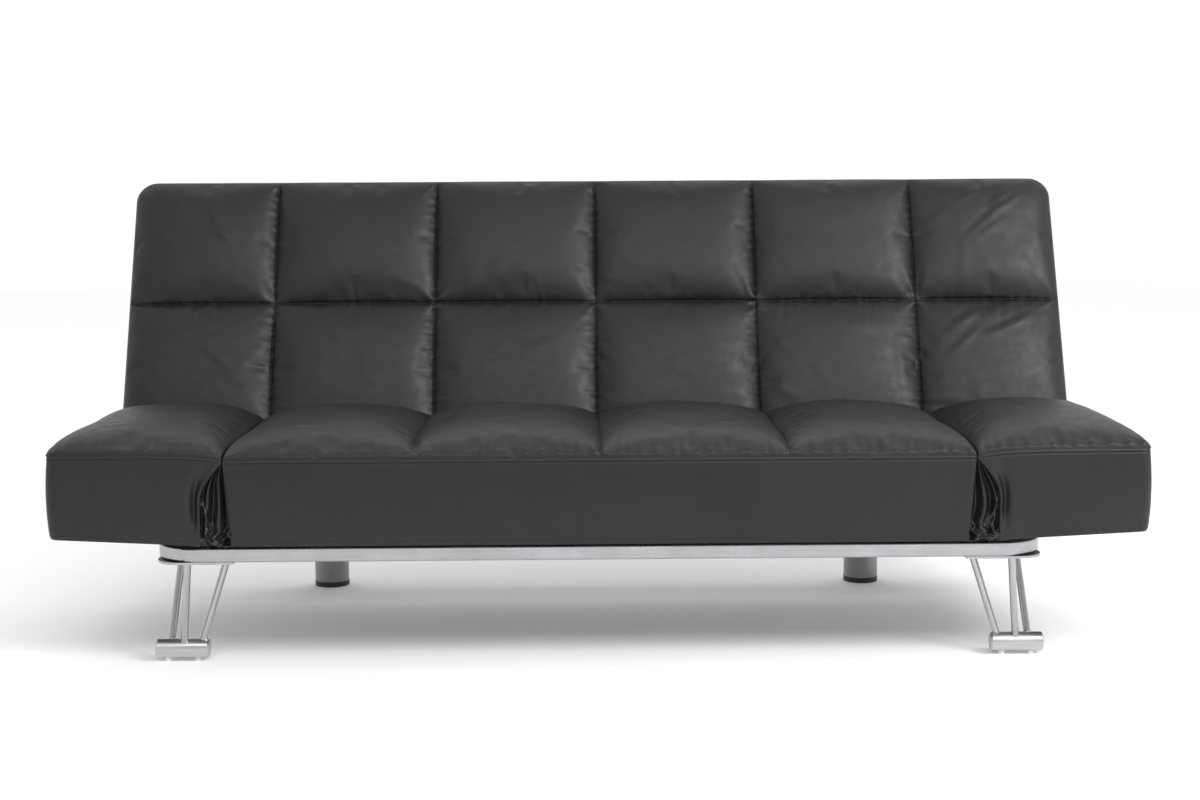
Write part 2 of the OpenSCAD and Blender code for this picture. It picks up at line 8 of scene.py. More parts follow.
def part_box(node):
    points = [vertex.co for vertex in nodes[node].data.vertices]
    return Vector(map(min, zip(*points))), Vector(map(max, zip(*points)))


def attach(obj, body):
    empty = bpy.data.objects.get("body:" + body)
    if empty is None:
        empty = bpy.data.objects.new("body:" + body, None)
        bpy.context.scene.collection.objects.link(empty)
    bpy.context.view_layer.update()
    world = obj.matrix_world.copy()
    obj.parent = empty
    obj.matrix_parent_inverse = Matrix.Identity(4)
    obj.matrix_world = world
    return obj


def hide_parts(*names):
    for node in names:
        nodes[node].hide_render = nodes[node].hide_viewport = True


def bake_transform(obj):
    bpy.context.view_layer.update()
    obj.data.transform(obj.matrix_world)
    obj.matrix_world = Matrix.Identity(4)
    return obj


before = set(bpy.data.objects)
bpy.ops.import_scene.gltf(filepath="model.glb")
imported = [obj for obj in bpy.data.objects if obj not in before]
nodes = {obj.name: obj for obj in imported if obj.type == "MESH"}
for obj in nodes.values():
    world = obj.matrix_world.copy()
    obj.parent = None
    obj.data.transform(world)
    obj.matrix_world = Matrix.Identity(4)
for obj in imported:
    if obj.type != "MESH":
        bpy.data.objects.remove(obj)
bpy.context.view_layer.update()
rng = np.random.default_rng(20)

# ---------------------------------------------------------------- measures
cover_lo, cover_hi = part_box("seat_cover")
wing_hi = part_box("wing_cover_left")[1]
back_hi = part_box("back_cover")[1]
bolt_lo, bolt_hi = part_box("pivot_bolts")
FRONT, REAR = cover_lo.y, cover_hi.y
SEAT_X = cover_hi.x                 # the hinge line between seat and wing
WING_X = wing_hi.x
BOTTOM = cover_lo.z
SEAM_Z = cover_hi.z - 0.036         # the seam round the top of the seat
CROWN = 0.042                       # how high each cell swells over that seam
WING_CROWN = CROWN - 0.005
PIVOT = Vector((0, (bolt_lo.y + bolt_hi.y) / 2, (bolt_lo.z + bolt_hi.z) / 2))
LEAN = math.radians(25.5)           # the backrest's lean from upright, at rest
UP = np.array([0, math.sin(LEAN), math.cos(LEAN)])
OUT = np.array([0, -math.cos(LEAN), math.sin(LEAN)])
BACK_X = back_hi.x
BACK_S0, BACK_S1, BACK_ROW = -0.025, 0.507, 0.252     # up the backrest: bottom, top, row seam
BACK_N, BACK_CROWN = 0.060, 0.031   # its edge seam in front of the pivot plane, and its cells' swell
GRID, COARSE = 0.0038, 0.0085       # mesh spacing of the seat and wings, and of their simulation
STITCH_AT, FOOT_STITCH_AT = 0.006, 0.009      # stitch lines, from a panel's top and lower seams


# ---------------------------------------------------------------- materials
def material(name, colour, rough, metallic=0.0, spec=0.5):
    m = bpy.data.materials.new(name)
    m.use_nodes = True
    n = m.node_tree.nodes
    b = n["Principled BSDF"]
    b.inputs["Base Color"].default_value = (*colour, 1)
    b.inputs["Roughness"].default_value = rough
    b.inputs["Metallic"].default_value = metallic
    b.inputs["Specular IOR Level"].default_value = spec
    return m, n, m.node_tree.links, b


def texture(n, l, kind, scale, detail=4.0, stretch=(1, 1, 1), **more):
    """A procedural texture in the object's own coordinates."""
    co = n.new("ShaderNodeTexCoord")
    mp = n.new("ShaderNodeMapping")
    mp.inputs["Scale"].default_value = stretch
    t = n.new(kind)
    t.inputs["Scale"].default_value = scale
    if "Detail" in t.inputs:
        t.inputs["Detail"].default_value = detail
    for k, v in more.items():
        setattr(t, k, v)
    l.new(co.outputs["Object"], mp.inputs["Vector"])
    l.new(mp.outputs["Vector"], t.inputs["Vector"])
    return t


def ramp(n, l, source, stops):
    """A colour ramp on source. Each stop: position and a grey (v,) or a colour (r, g, b)."""
    r = n.new("ShaderNodeValToRGB")
    e = r.color_ramp.elements
    while len(e) < len(stops):
        e.new(0.5)
    for k, (at, c) in zip(e, stops):
        k.position = at
        k.color = (*c, 1) if len(c) == 3 else (c[0], c[0], c[0], 1)
    l.new(source, r.inputs["Fac"])
    return r


def bump(n, l, b, chain):
    """chain: (height socket, strength, distance) laid one over another."""
    last = None
    for height, strength, distance in chain:
        k = n.new("ShaderNodeBump")
        k.inputs["Strength"].default_value = strength
        k.inputs["Distance"].default_value = distance
        l.new(height, k.inputs["Height"])
        if last:
            l.new(last.outputs["Normal"], k.inputs["Normal"])
        last = k
    l.new(last.outputs["Normal"], b.inputs["Normal"])


def leather(name, base=(0.0078, 0.0077, 0.0080), rough=(0.42, 0.53)):
    """Black leather with grain and pores, with painted shade: darker where the mesh's seam-shade
    attribute is high, in seams, grooves and deep pleats.
    """
    m, n, l, b = material(name, base, 0.47, spec=0.40)
    soft = texture(n, l, "ShaderNodeTexNoise", 7, 5)
    patch = texture(n, l, "ShaderNodeTexNoise", 55, 6)
    lo, hi = [c * 0.82 for c in base], [c * 1.22 for c in base]
    tone = ramp(n, l, soft.outputs["Fac"], [(0.32, lo), (0.68, hi)])
    # Painted shade: the base colour falls to 0.55 of itself where the seam-shade attribute is high.
    painted_shade = n.new("ShaderNodeAttribute")
    painted_shade.attribute_name = "seam"
    mix = n.new("ShaderNodeMix")
    mix.data_type = "RGBA"
    mix.inputs["B"].default_value = (base[0] * 0.55, base[1] * 0.55, base[2] * 0.55, 1)
    l.new(painted_shade.outputs["Fac"], mix.inputs["Factor"])
    l.new(tone.outputs["Color"], mix.inputs["A"])
    l.new(mix.outputs["Result"], b.inputs["Base Color"])
    r = ramp(n, l, patch.outputs["Fac"], [(0.3, (rough[0],)), (0.7, (rough[1],))])
    l.new(r.outputs["Color"], b.inputs["Roughness"])
    grain = texture(n, l, "ShaderNodeTexVoronoi", 620, feature="DISTANCE_TO_EDGE")
    g = ramp(n, l, grain.outputs["Distance"], [(0.0, (0.0,)), (0.16, (1.0,))])
    pores = texture(n, l, "ShaderNodeTexNoise", 1500, 3)
    folds = texture(n, l, "ShaderNodeTexNoise", 42, 5)
    bump(n, l, b, [(folds.outputs["Fac"], 0.35, 0.0012),
                   (g.outputs["Color"], 0.28, 0.00016),
                   (pores.outputs["Fac"], 0.25, 0.00012)])
    return m


def metal(name, colour, rough, stretch=(1, 1, 1), scale=300.0, depth=0.00004, spread=0.08):
    """Drawn or brushed metal: fine lines along the stretched axis, smears in its gloss."""
    m, n, l, b = material(name, colour, rough, metallic=1.0)
    line = texture(n, l, "ShaderNodeTexNoise", scale, 3, stretch)
    smear = texture(n, l, "ShaderNodeTexNoise", 14, 4)
    r = ramp(n, l, smear.outputs["Fac"],
             [(0.3, (max(0.03, rough - spread),)), (0.7, (rough + spread,))])
    l.new(r.outputs["Color"], b.inputs["Roughness"])
    c = ramp(n, l, line.outputs["Fac"], [(0.3, [v * 0.93 for v in colour]),
                                         (0.7, [min(1, v * 1.05) for v in colour])])
    l.new(c.outputs["Color"], b.inputs["Base Color"])
    bump(n, l, b, [(line.outputs["Fac"], 0.3, depth)])
    return m


def plastic(name, colour, rough, bumpy=0.0001):
    m, n, l, b = material(name, colour, rough)
    grit = texture(n, l, "ShaderNodeTexNoise", 900, 3)
    tone = texture(n, l, "ShaderNodeTexNoise", 60, 3)
    c = ramp(n, l, tone.outputs["Fac"], [(0.3, [v * 0.88 for v in colour]),
                                         (0.7, [min(1, v * 1.1) for v in colour])])
    l.new(c.outputs["Color"], b.inputs["Base Color"])
    r = ramp(n, l, tone.outputs["Fac"], [(0.3, (rough - 0.07,)), (0.7, (rough + 0.07,))])
    l.new(r.outputs["Color"], b.inputs["Roughness"])
    bump(n, l, b, [(grit.outputs["Fac"], 0.3, bumpy)])
    return m


def timber(name, tone=1.0):
    m, n, l, b = material(name, [v * tone for v in (0.5, 0.34, 0.19)], 0.62)
    ring = texture(n, l, "ShaderNodeTexNoise", 9, 6, (1, 9, 9))
    fibre = texture(n, l, "ShaderNodeTexNoise", 110, 4, (0.12, 1, 1))
    c = ramp(n, l, ring.outputs["Fac"], [(at, [v * tone for v in grain]) for at, grain in (
        (0.28, (0.36, 0.22, 0.11)), (0.5, (0.55, 0.38, 0.21)), (0.72, (0.66, 0.49, 0.30)))])
    l.new(c.outputs["Color"], b.inputs["Base Color"])
    bump(n, l, b, [(fibre.outputs["Fac"], 0.5, 0.0004)])
    return m


def lining(name, colour=(0.018, 0.018, 0.02)):
    m, n, l, b = material(name, colour, 0.9, spec=0.25)
    dots = texture(n, l, "ShaderNodeTexVoronoi", 420)
    fuzz = texture(n, l, "ShaderNodeTexNoise", 700, 4)
    c = ramp(n, l, dots.outputs["Distance"], [(0.1, [v * 0.7 for v in colour]),
                                              (0.6, [v * 1.9 for v in colour])])
    l.new(c.outputs["Color"], b.inputs["Base Color"])
    bump(n, l, b, [(dots.outputs["Distance"], 0.5, 0.0003), (fuzz.outputs["Fac"], 0.5, 0.0003)])
    return m


LEATHER = leather("leather_black")
# Gusset leather: glossier than the rest, and its base colour is lighter, painted light that offsets the
# shade in the gusset's recess.
FOLDED_LIT = leather("leather_folded_lit", (0.0095, 0.0094, 0.0098), (0.27, 0.36))
THREAD = plastic("thread_black", (0.03, 0.03, 0.032), 0.6)
LINING = lining("lining_black")
SATIN = metal("satin_silver", (0.39, 0.39, 0.405), 0.30, (0.04, 1, 1), 260)
BAR = metal("satin_bar", (0.54, 0.54, 0.555), 0.36, (0.05, 1, 1), 300)
CHROME = metal("chrome_rod", (0.42, 0.42, 0.435), 0.11, (1, 1, 0.05), 200, 0.00001, 0.03)
BRUSHED = metal("brushed_leg", (0.26, 0.25, 0.238), 0.34, (1, 1, 0.03), 420)
ZINC = metal("zinc_plate", (0.55, 0.55, 0.53), 0.38, (1, 1, 1), 90)
DARK = plastic("dark_enamel", (0.035, 0.035, 0.038), 0.42)
BLACK = plastic("black_plastic", (0.012, 0.012, 0.013), 0.40)
GLIDE = plastic("glide_plastic", (0.72, 0.72, 0.70), 0.35)
RUBBER = plastic("rubber_black", (0.015, 0.015, 0.015), 0.75, 0.0003)
WOOD = timber("timber_raw")
STAINED = timber("timber_stained", 0.09)     # where the timber shows beside a folded wing

FINISH = [("satin_steel", SATIN, ("base_front_rail", "base_rear_rail", "base_side_rail_left",
                                  "base_side_rail_right", "base_rail_corners", "base_cross_rails",
                                  "front_leg_plates", "rear_leg_plates")),
          ("satin_steel", BAR, ("front_foot_bar_left", "front_foot_bar_right")),
          ("chrome", CHROME, ("front_leg_rods_left", "front_leg_rods_right")),
          ("brushed_leg", BRUSHED, ("rear_leg_left", "rear_leg_right")),
          ("glide", GLIDE, ("foot_glides",)),
          ("black_plastic", BLACK, ("rear_leg_caps",)),
          ("rubber", RUBBER, ("seat_buffers",)),
          ("zinc", ZINC, ("leg_plate_screws", "pivot_bolts", "pivot_nuts", "pawl_pins",
                          "pawl_springs", "wing_hinge_pins", "seat_hinge_leaves",
                          "wing_hinge_leaves_left", "wing_hinge_leaves_right")),
          ("dark_steel", DARK, ("hinge_bracket_left", "hinge_bracket_right", "pawl_left",
                                "pawl_right", "seat_arm_left", "seat_arm_right",
                                "back_arm_left", "back_arm_right")),
          ("timber", WOOD, ("seat_slats", "back_top_rail", "back_bottom_rails", "back_uprights",
                            "back_slats")),
          ("timber", STAINED, ("seat_front_rail", "seat_rear_rail", "seat_side_rail_left",
                               "seat_side_rail_right", "wing_rails_left", "wing_rails_right",
                               "wing_panel_left", "wing_panel_right")),
          ("lining", LINING, ("seat_dust_cover", "back_panel"))]
for slot, mat, names in FINISH:
    for name in names:
        nodes[name].data.materials.clear()
        nodes[name].data.materials.append(mat)


# ---------------------------------------------------------------- mesh tools
def make(name, verts, faces, mats, index=None, seam=None):
    me = bpy.data.meshes.new(name)
    me.from_pydata([tuple(v) for v in verts], [], faces)
    for m in mats:
        me.materials.append(m)
    if index is not None:
        me.polygons.foreach_set("material_index", index)
    me.polygons.foreach_set("use_smooth", [True] * len(me.polygons))
    # The seam-shade attribute: painted shade that the leather material reads.
    if seam is not None:
        a = me.attributes.new("seam", "FLOAT", "POINT")
        a.data.foreach_set("value", np.asarray(seam, np.float32))
    me.update()
    o = bpy.data.objects.new(name, me)
    bpy.context.scene.collection.objects.link(o)
    return o


def lines(stops, step, near=(0.0013, 0.0028, 0.0047, 0.0072)):
    """Grid lines through the stops, closer together beside each."""
    out = []
    for lo, hi in zip(stops[:-1], stops[1:]):
        a, b = lo + near[-1], hi - near[-1]
        out += [lo] + [lo + v for v in near[:-1]]
        out += list(np.linspace(a, b, max(1, round((b - a) / step)) + 1))
        out += [hi - v for v in reversed(near[:-1])]
    return np.array(out + [stops[-1]])


def with_lines(grid, extra, keep):
    """The grid with these lines too, in place of any other within 1 mm."""
    g = [v for v in grid if min(abs(v - e) for e in extra) > 0.0011
         or min(abs(v - k) for k in keep) < 1e-6]
    return np.array(sorted(set(g) | set(extra)))


def puff(v, stops, floors, p=3.0):
    """Share of full height across sewn cells: 1 in the middle, floors at the seams."""
    stops, floors = np.array(stops), np.array(floors)
    k = np.clip(np.searchsorted(stops, v, side="right") - 1, 0, len(stops) - 2)
    lo, hi = stops[k], stops[k + 1]
    d = np.minimum(v - lo, hi - v) / ((hi - lo) / 2)
    t = (v - lo) / (hi - lo)
    f = np.sqrt(np.clip(1 - (1 - np.clip(d, 0, 1)) ** p, 0, 1))
    floor = floors[k] * (1 - t) + floors[k + 1] * t
    return floor + (1 - floor) * f


def strokes(A, B, h, marks):
    """Adds creases to the height grid h. Each mark: a, b, angle, length, width, amount, fade.
    fade 1 dies away from its start, fade 0 is full in the middle."""
    for a, b, angle, length, width, amount, fade in marks:
        c, s = math.cos(angle), math.sin(angle)
        a1, b1 = a + c * length, b + s * length
        pad = 3 * width
        i0, i1 = np.searchsorted(A, [min(a, a1) - pad, max(a, a1) + pad])
        j0, j1 = np.searchsorted(B, [min(b, b1) - pad, max(b, b1) + pad])
        if i1 - i0 < 2 or j1 - j0 < 2:
            continue
        x, y = A[i0:i1, None] - a, B[None, j0:j1] - b
        t, d = (x * c + y * s) / length, (-x * s + y * c) / width
        if fade:
            along = np.where(t < 0, np.exp(-(t * length / width) ** 2), np.clip(1 - t, 0, 1) ** 1.6)
        else:
            along = np.clip(1 - (2 * t - 1) ** 2, 0, 1) ** 1.2
        h[i0:i1, j0:j1] += amount * along * (np.exp(-d * d) - 0.55 * np.exp(-((d - 1.7) ** 2)))


def cubic(D, at_a, at_b):
    """The coarse grid D resampled at fractional places by Catmull-Rom."""
    def along(M, at):
        n = M.shape[0]
        i = np.clip(np.floor(at).astype(int), 0, n - 2)
        t = (at - i)[:, None, None]
        p = [M[np.clip(i + k, 0, n - 1)] for k in (-1, 0, 1, 2)]
        return 0.5 * (2 * p[1] + (p[2] - p[0]) * t + (2 * p[0] - 5 * p[1] + 4 * p[2] - p[3]) * t ** 2
                      + (3 * p[1] - p[0] - 3 * p[2] + p[3]) * t ** 3)
    D = along(D, at_a)
    return along(D.transpose(1, 0, 2), at_b).transpose(1, 0, 2)


SLACK, PRESSURE, CAP, FRAMES = -0.004, 4.0, 0.006, 20       # cloth a little larger than its outline


def inflate(name, A, B, H, pinned):
    """Cloth with air pressure under it, sewn down where pinned is 1: how far each point moves."""
    na, nb = len(A), len(B)
    P = np.stack([np.repeat(A[:, None], nb, 1), np.repeat(B[None, :], na, 0), H], 2).reshape(-1, 3)
    ids = np.arange(na * nb).reshape(na, nb)
    quads = np.stack([ids[:-1, :-1], ids[1:, :-1], ids[1:, 1:], ids[:-1, 1:]], 2).reshape(-1, 4)
    o = make(name, P, quads.tolist(), [])
    group = o.vertex_groups.new(name="pin")
    group.add(np.nonzero(pinned.reshape(-1))[0].tolist(), 1.0, "REPLACE")
    mod = o.modifiers.new("cloth", "CLOTH")
    s = mod.settings
    s.quality = 6
    s.mass = 0.35
    s.tension_stiffness = s.compression_stiffness = 22
    s.shear_stiffness = 12
    s.bending_stiffness = 6.0
    s.tension_damping = s.compression_damping = 8
    s.vertex_group_mass = "pin"
    s.shrink_min = SLACK
    s.use_pressure = True
    s.uniform_pressure_force = PRESSURE
    s.effector_weights.gravity = 0
    mod.collision_settings.use_collision = False
    mod.point_cache.frame_end = FRAMES
    for f in range(1, FRAMES + 1):
        bpy.context.scene.frame_set(f)
    e = o.evaluated_get(bpy.context.evaluated_depsgraph_get())
    Q = np.array([v.co for v in e.data.vertices]).reshape(-1, 3)
    bpy.data.objects.remove(o)
    bpy.context.scene.frame_set(1)
    D = np.nan_to_num(Q - P)
    far = np.linalg.norm(D, axis=1, keepdims=True)
    D *= np.minimum(1, CAP / np.maximum(far, 1e-9))
    print(f"{name}: moved {far.mean() * 1000:.1f} mm, most {far.max() * 1000:.1f}")
    return D.reshape(na, nb, 3)


def rounded(a, b, corners):
    """Plan points with the square corners turned to arcs. Each corner: its centre and signs."""
    a, b = a.copy(), b.copy()
    for ca, cb, sa, sb in corners:
        da, db = (a - ca) * sa, (b - cb) * sb
        hit = (da > 0) & (db > 0)
        m, L = np.maximum(da, db), np.maximum(np.hypot(da, db), 1e-9)
        k = np.where(hit, m / L, 1)
        a, b = np.where(hit, ca + (a - ca) * k, a), np.where(hit, cb + (b - cb) * k, b)
    return a, b


def border_rows(depth):
    """Distances below the seam for the rows of the side panel."""
    top = [0.0009, 0.0019, 0.003, 0.0042, 0.0052, 0.006, 0.0068, 0.008, 0.0105, 0.015, 0.022]
    low = [0.022, 0.0155, 0.0115, 0.0098, 0.009, 0.0082, 0.0068, 0.0045, 0.0025, 0.001, 0.0]
    n = max(2, round((depth - 0.044) / 0.009))
    mid = list(np.linspace(0.022, depth - 0.022, n + 1)[1:-1])
    return np.array(top + mid + [depth - v for v in low])


def side_bulge(d, depth, swell):
    """How far the side panel stands out at d below its seam: piping, stitch lines, turned-in foot."""
    def near(v, at, w):
        return np.exp(-((v - at) / w) ** 2)
    e = depth - d
    body = np.clip((d - 0.007) / (depth - 0.010), 0, 1)
    return (swell * np.sin(np.pi * body) ** 0.7 + 0.0019 * near(d, 0.003, 0.0018)
            - 0.0008 * near(d, 0.006, 0.0008) + 0.0010 * near(d, 0.0085, 0.002)
            - 0.0007 * near(e, 0.009, 0.0009) - 0.0022 * np.exp(-e / 0.0016))


def pillow(A, B, top, floor_h, swell, hidden=(), inset=0.012, ring_up=0.002):
    """A closed cushion in plan units (a, b, h): the top grid, a side panel down to floor_h and a
    flat bottom. Returns its points, faces, material of each face, side-panel rows and the
    outward direction of each point in a row."""
    na, nb = len(A), len(B)
    ids = np.arange(na * nb).reshape(na, nb)
    loop = ([(i, 0) for i in range(na)] + [(na - 1, j) for j in range(1, nb)]
            + [(i, nb - 1) for i in range(na - 2, -1, -1)] + [(0, j) for j in range(nb - 2, 0, -1)])
    li, lj = np.array(loop).T
    ring = ids[li, lj]
    T = top[li, lj]
    ahead = np.roll(T[:, :2], -2, 0) - np.roll(T[:, :2], 2, 0)
    out = np.stack([ahead[:, 1], -ahead[:, 0]], 1)
    out /= np.maximum(np.linalg.norm(out, axis=1, keepdims=True), 1e-9)
    for _ in range(2):
        out = (np.roll(out, 1, 0) + 2 * out + np.roll(out, -1, 0)) / 4
        out /= np.maximum(np.linalg.norm(out, axis=1, keepdims=True), 1e-9)
    low = floor_h(T[:, 0], T[:, 1])
    depth = float(np.mean(T[:, 2] - low))
    P, rows, rings = [top.reshape(-1, 3)], [], [ring]
    free = np.ones(len(ring))
    for a_lo, a_hi, share in hidden:      # sides that face a neighbour swell less
        free = np.where((T[:, 0] > a_lo) & (T[:, 0] < a_hi), share, free)
    n0 = na * nb
    for d in border_rows(depth):
        t = d / depth
        b = side_bulge(d, depth, swell)
        b = np.where(free < 1, np.minimum(b, 0) + np.maximum(b, 0) * free, b)
        row = np.column_stack([T[:, :2] + out * b[:, None], T[:, 2] * (1 - t) + low * t])
        rows.append(row)
        P.append(row)
        rings.append(np.arange(n0, n0 + len(ring)))
        n0 += len(ring)
    for step_in, step_up in ((0.003, 0.0), (inset, 0.0), (inset + 0.002, ring_up)):
        row = np.column_stack([T[:, :2] - out * step_in, low + step_up])
        P.append(row)
        rings.append(np.arange(n0, n0 + len(ring)))
        n0 += len(ring)
    quads = np.stack([ids[:-1, :-1], ids[1:, :-1], ids[1:, 1:], ids[:-1, 1:]], 2).reshape(-1, 4)
    faces = quads.tolist()
    index = [0] * len(faces)
    for k, (u, v) in enumerate(zip(rings[:-1], rings[1:])):
        faces += np.stack([v, np.roll(v, -1), np.roll(u, -1), u], 1).tolist()
        index += [1 if k >= len(rings) - 2 else 0] * len(u)
    faces.append(rings[-1][::-1].tolist())
    index.append(1)
    return np.concatenate(P), faces, index, rows, out


def near_seam(plan, stops_a, stops_b, width=0.006):
    """1 on a sewn line, falling off over width."""
    d = np.min(np.abs(plan[:, 0][:, None] - np.array(stops_a)[None]), 1)
    if len(stops_b):
        d = np.minimum(d, np.min(np.abs(plan[:, 1][:, None] - np.array(stops_b)[None]), 1))
    return np.exp(-d / width)


def puckers(stops_a, stops_b, A, B, amount, every=(0.010, 0.020), reach=(0.012, 0.034)):
    """Short creases square to each seam on both sides of it."""
    out = []
    for line_stops, other, vertical in ((stops_a, B, True), (stops_b, A, False)):
        for at in line_stops:
            for side in (1, -1):
                q = other[0] + 0.006
                while q < other[-1] - 0.006:
                    start = (at, q) if vertical else (q, at)
                    ang = (0 if side > 0 else math.pi) if vertical else side * math.pi / 2
                    ang += rng.normal(0, 0.16)
                    out.append((*start, ang, rng.uniform(*reach), rng.uniform(0.0028, 0.0048),
                                rng.uniform(0.4, 1.0) * amount, 1))
                    q += rng.uniform(*every)
    return out


def rays(points, count, reach, width, amount):
    """Longer creases running out from where seams cross."""
    out = []
    for a, b in points:
        for quarter in range(4):
            for _ in range(count):
                ang = quarter * math.pi / 2 + rng.uniform(0.25, math.pi / 2 - 0.25)
                k = rng.uniform(0.006, 0.014)
                out.append((a + math.cos(ang) * k, b + math.sin(ang) * k, ang, rng.uniform(*reach),
                            rng.uniform(*width),
                            rng.uniform(0.5, 1.0) * amount * rng.choice([1, 1, -0.8]), 1))
    return out


def quilt(name, stops_a, stops_b, floors_a, floors_b, height, step, sim_step, marks, round_a=3.0,
          square_front=False, extra_a=()):
    """Height grid of a sewn, stuffed top: analytic domes, cloth simulation on them, then creases."""
    A, B = lines(stops_a, step), lines(stops_b, step)
    if len(extra_a):
        A = with_lines(A, extra_a, stops_a)
    lumps = [(rng.uniform(-30, 30), rng.uniform(-30, 30), rng.uniform(0, 6.3)) for _ in range(12)]

    def domes(a, b):
        rear = puff(a, stops_a, floors_a, round_a)[:, None]
        waves = sum(np.cos(fa * a[:, None] + fb * b[None, :] + phase) for fa, fb, phase in lumps)
        rear = rear * (1 + 0.22 * (waves / len(lumps)))
        if not square_front:
            return height * rear * puff(b, stops_b, floors_b)[None, :]
        front = puff(a, stops_a, [1 - (1 - f) * 0.75 for f in floors_a], 7.0)[:, None]
        w = np.clip((b - b[0]) / 0.26, 0, 1)[None, :] ** 0.8
        return height * (front * (1 - w) + rear * w) * puff(b, stops_b, floors_b)[None, :]
    top = np.zeros((len(A), len(B), 3))
    top[:, :, 0], top[:, :, 1], top[:, :, 2] = A[:, None], B[None, :], domes(A, B)
    a, b = lines(stops_a, sim_step, (0.0055,)), lines(stops_b, sim_step, (0.0055,))
    pin = np.zeros((len(a), len(b)))
    for k in stops_a:
        pin[np.abs(a - k) < 1e-6, :] = 1
    for k in stops_b:
        pin[:, np.abs(b - k) < 1e-6] = 1
    D = inflate(name + "_sim", a, b, domes(a, b), pin)
    top += cubic(D, np.interp(A, a, np.arange(len(a))), np.interp(B, b, np.arange(len(b))))
    h = top[:, :, 2].copy()
    strokes(A, B, h, marks(A, B))
    from_a = np.minimum(np.abs(A - stops_a[0]), np.abs(A - stops_a[-1]))[:, None]
    from_b = np.minimum(np.abs(B - stops_b[0]), np.abs(B - stops_b[-1]))[None, :]
    hold = np.clip(np.minimum(from_a, from_b) / 0.006, 0, 1)      # creases stop short of the edge
    top[:, :, 2] += (h - top[:, :, 2]) * hold
    return A, B, top


def beads(name, lines_of_points, pitch=0.0052, length=0.0036, radius=0.00042):
    """Sewing thread: one short spindle for each stitch. Each line is a list of (point, outward)."""
    V, F = [], []
    for pts in lines_of_points:
        P = np.array([p for p, _ in pts])
        N = np.array([n for _, n in pts])
        seg = np.linalg.norm(np.diff(P, axis=0), axis=1)
        s = np.concatenate([[0], np.cumsum(seg)])
        for at in np.arange(pitch, s[-1] - pitch, pitch):
            def on(q, X):
                return np.array([np.interp(q, s, X[:, k]) for k in range(3)])
            c, n = on(at, P), on(at, N)
            t = on(at + 0.001, P) - on(at - 0.001, P)
            t /= max(np.linalg.norm(t), 1e-9)
            n = n - t * (n @ t)
            n /= max(np.linalg.norm(n), 1e-9)
            w = np.cross(t, n)
            base = len(V)
            c = c + n * (radius * 0.5)
            V.append(c - t * length / 2 - n * radius * 0.9)
            for u, r in ((-0.36, 0.75), (0, 1.0), (0.36, 0.75)):
                for k in range(6):
                    q = k * math.pi / 3
                    ring = n * math.sin(q) * 0.9 + w * math.cos(q) * 1.1
                    V.append(c + t * length * u + ring * radius * r)
            V.append(c + t * length / 2 - n * radius * 0.9)
            for k in range(6):
                k2 = (k + 1) % 6
                F.append((base, base + 1 + k2, base + 1 + k))
                for r in (0, 6):
                    F.append((base + 1 + r + k, base + 1 + r + k2,
                              base + 7 + r + k2, base + 7 + r + k))
                F.append((base + 13 + k, base + 13 + k2, base + 19))
    return make(name, V, F, [THREAD])


# ---------------------------------------------------------------- seat and wings
def wing_rise(x, rise):
    """The wing's underside slopes up from the hinge to its outer edge."""
    return rise * np.clip((np.abs(x) - SEAT_X) / (WING_X - SEAT_X), 0, 1)


def seam_rise(x):
    """The wing's top seam climbs just outside the hinge."""
    return 0.0095 * (1 - np.exp(-np.clip(np.abs(x) - SEAT_X, 0, 1) / 0.040))


GAP = 0.001                       # half the seam's width at the hinge
FAR = 9.0                         # past any edge
HINGE_FLOOR, COLUMN_FLOOR = 0.10, 0.34    # share of the crown left at the hinge and column seams
V_SEAT, V_WING = 0.010, 0.038     # how far the split opens to each side at the front
DENT_X, DENT_Z = 0.642, 0.284     # the dent in each wing's front face


def split_open(P, wing):
    """Opens the V between seat and wing below the top seam: a wing's side at the front and rear,
    the seat's at the front only. A wing's front face also gets a dent beside the V."""
    x, y, z = P[:, 0], P[:, 1], P[:, 2]
    down = SEAM_Z - 0.004 - z
    at_front = np.exp(-np.clip((y - FRONT - 0.012) / 0.035, 0, FAR) ** 2)
    ax = np.abs(x)
    if not wing:
        reach = np.clip((ax - (SEAT_X - 0.07)) / 0.07, 0, 1)
        P[:, 0] -= np.sign(x) * V_SEAT * np.clip(down / 0.125, 0, 1) * at_front * reach ** 2
        return P
    at_rear = np.exp(-np.clip((REAR - 0.012 - y) / 0.035, 0, FAR) ** 2)
    reach = np.clip(1 - (ax - SEAT_X) / 0.10, 0, 1)
    ease = np.sin(np.clip(down / 0.066, 0, 1) * math.pi / 2)
    P[:, 0] += np.sign(x) * V_WING * ease * np.maximum(at_front, at_rear) * reach ** 2
    face = np.exp(-np.clip((y - FRONT) / 0.02, 0, FAR) ** 2)
    dent = np.exp(-((ax - DENT_X) / 0.0125) ** 2) * np.exp(-((z - DENT_Z) / 0.046) ** 4)
    P[:, 1] += 0.0100 * dent * face
    return P


